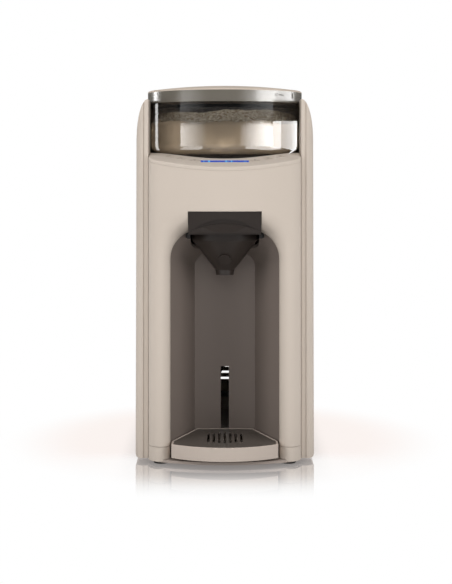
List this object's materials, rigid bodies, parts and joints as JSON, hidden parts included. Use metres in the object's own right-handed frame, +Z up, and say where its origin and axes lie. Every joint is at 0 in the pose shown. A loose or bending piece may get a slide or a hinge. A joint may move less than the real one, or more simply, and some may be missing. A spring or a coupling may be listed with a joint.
{
  "type": "baby formula maker",
  "caption": "Counter-top machine that meters milk powder from a lidded container, heats water from a rear tank and mixes both in a funnel over a bottle niche",
  "frame": {"origin": "centre of the footprint, on the table", "axes": "+Z up, -Y towards the user, +X to the right seen from the front"},
  "size_m": [0.17, 0.305, 0.3582],
  "materials": {
    "shell": "satin champagne beige",
    "tray": "satin beige",
    "tray_cover": "dark grey-brown",
    "liner": "dark grey-brown, satin",
    "guide": "black",
    "smoky_funnel": "smoky see-through",
    "clear_container": "lightly smoked, clear",
    "clear_tank": "smoked, clear",
    "tank_lid": "satin champagne beige",
    "lid_dome": "satin, slightly pearly",
    "lid_ring": "satin",
    "white_plastic": "natural white",
    "seal": "soft grey",
    "steel": "plated",
    "bronze": "sintered bronze",
    "frame": "light grey",
    "motor": "plated steel",
    "pump": "black",
    "heater": "cast",
    "hose": "translucent silicone",
    "board": "green laminate",
    "display": "tinted window",
    "key": "satin champagne beige"
  },
  "bodies": {
    "housing": {"front_shell": "shell", "control_panel": "shell", "display_lens": "display", "side_panel_left": "shell", "side_panel_right": "shell", "chassis": "frame", "back_cover": "shell", "top_cover": "shell", "base_plate": "guide", "base_cap_left": "shell", "base_cap_right": "shell", "rubber_feet": "seal", "niche_liner": "liner", "funnel_guide": "guide", "case_screws": "steel", "gear_plate": "frame", "gear_motor": "motor", "motor_screws": "steel", "shaft_bush": "bronze", "powder_chute": "guide", "dock_seal": "seal", "water_nozzle": "white_plastic", "water_heater": "heater", "water_pump": "pump", "inlet_hose": "hose", "heater_hose": "hose", "nozzle_hose": "hose", "main_board": "board", "display_board": "board", "tank_dock": "guide", "power_inlet": "guide"},
    "drive": {"drive_gear": "white_plastic"},
    "pinion": {"motor_pinion": "white_plastic"},
    "container": {"powder_container": "clear_container", "powder_scraper": "white_plastic"},
    "stirrer": {"metering_wheel": "white_plastic", "stirring_wheel": "white_plastic"},
    "lid_gasket": {"lid_seal": "seal"},
    "lid": {"lid_cap": "lid_dome", "lid_band": "lid_ring"},
    "funnel_drawer": {"funnel_cover": "smoky_funnel", "mixing_funnel": "smoky_funnel"},
    "tray": {"drip_tray": "tray"},
    "grille": {"tray_cover": "tray_cover"},
    "tank": {"water_tank": "clear_tank", "tank_filter": "white_plastic", "hinge_pins": "steel", "valve_spring": "steel"},
    "tank_flap": {"tank_lid": "tank_lid"},
    "poppet": {"tank_valve": "white_plastic"},
    "key_1_cap": {"key_1": "key"},
    "key_2_cap": {"key_2": "key"},
    "key_3_cap": {"key_3": "key"},
    "key_4_cap": {"key_4": "key"},
    "key_5_cap": {"key_5": "key"},
    "key_6_cap": {"key_6": "key"}
  },
  "joints": [
    {"name": "container_lift", "type": "slide", "parent": "housing", "child": "container", "axis": [0, 0, 1], "range_m": [0, 0.12]},
    {"name": "lid_lift", "type": "slide", "parent": "container", "child": "lid_gasket", "axis": [0, 0, 1], "range_m": [0, 0.1]},
    {"name": "lid_turn", "type": "hinge", "parent": "lid_gasket", "child": "lid", "pos_m": [0, -0.0455, 0.34022], "axis": [0, 0, 1], "range_deg": [0, 25]},
    {"name": "drive_spin", "type": "hinge", "parent": "housing", "child": "drive", "pos_m": [0, -0.0455, 0.26952], "axis": [0, 0, 1], "continuous": true},
    {"name": "pinion_spin", "type": "hinge", "parent": "housing", "child": "pinion", "pos_m": [0.02333, -0.02217, 0.26952], "axis": [0, 0, 1], "continuous": true},
    {"name": "stirrer_spin", "type": "hinge", "parent": "container", "child": "stirrer", "pos_m": [0, -0.0455, 0.28992], "axis": [0, 0, 1], "continuous": true},
    {"name": "funnel_slide", "type": "slide", "parent": "housing", "child": "funnel_drawer", "axis": [0, -1, 0], "range_m": [0, 0.1]},
    {"name": "tray_slide", "type": "slide", "parent": "housing", "child": "tray", "axis": [0, 0, 1], "range_m": [0, 0.06]},
    {"name": "grille_lift", "type": "slide", "parent": "tray", "child": "grille", "axis": [0, 0, 1], "range_m": [0, 0.03]},
    {"name": "tank_lift", "type": "slide", "parent": "housing", "child": "tank", "axis": [0, 0, 1], "range_m": [0, 0.24]},
    {"name": "tank_lid_hinge", "type": "hinge", "parent": "tank", "child": "tank_flap", "pos_m": [0, 0.14945, 0.33822], "axis": [-1, 0, 0], "range_deg": [0, 110]},
    {"name": "tank_valve_slide", "type": "slide", "parent": "tank", "child": "poppet", "axis": [0, 0, 1], "range_m": [0, 0.003], "stiffness_N_per_m": 200, "springref_m": -0.002, "deforming": ["valve_spring"]},
    {"name": "key_1_press", "type": "slide", "parent": "housing", "child": "key_1_cap", "axis": [0, 0.342, -0.9397], "range_m": [0, 0.0008], "stiffness_N_per_m": 400, "springref_m": -0.0001},
    {"name": "key_2_press", "type": "slide", "parent": "housing", "child": "key_2_cap", "axis": [0, 0.342, -0.9397], "range_m": [0, 0.0008], "stiffness_N_per_m": 400, "springref_m": -0.0001},
    {"name": "key_3_press", "type": "slide", "parent": "housing", "child": "key_3_cap", "axis": [0, 0.342, -0.9397], "range_m": [0, 0.0008], "stiffness_N_per_m": 400, "springref_m": -0.0001},
    {"name": "key_4_press", "type": "slide", "parent": "housing", "child": "key_4_cap", "axis": [0, 0.342, -0.9397], "range_m": [0, 0.0008], "stiffness_N_per_m": 400, "springref_m": -0.0001},
    {"name": "key_5_press", "type": "slide", "parent": "housing", "child": "key_5_cap", "axis": [0, 0.342, -0.9397], "range_m": [0, 0.0008], "stiffness_N_per_m": 400, "springref_m": -0.0001},
    {"name": "key_6_press", "type": "slide", "parent": "housing", "child": "key_6_cap", "axis": [0, 0.342, -0.9397], "range_m": [0, 0.0008], "stiffness_N_per_m": 400, "springref_m": -0.0001}
  ],
  "couplings": [
    {"joint": "pinion_spin", "follows": "drive_spin", "ratio": -3},
    {"joint": "stirrer_spin", "follows": "drive_spin", "ratio": 1}
  ]
}
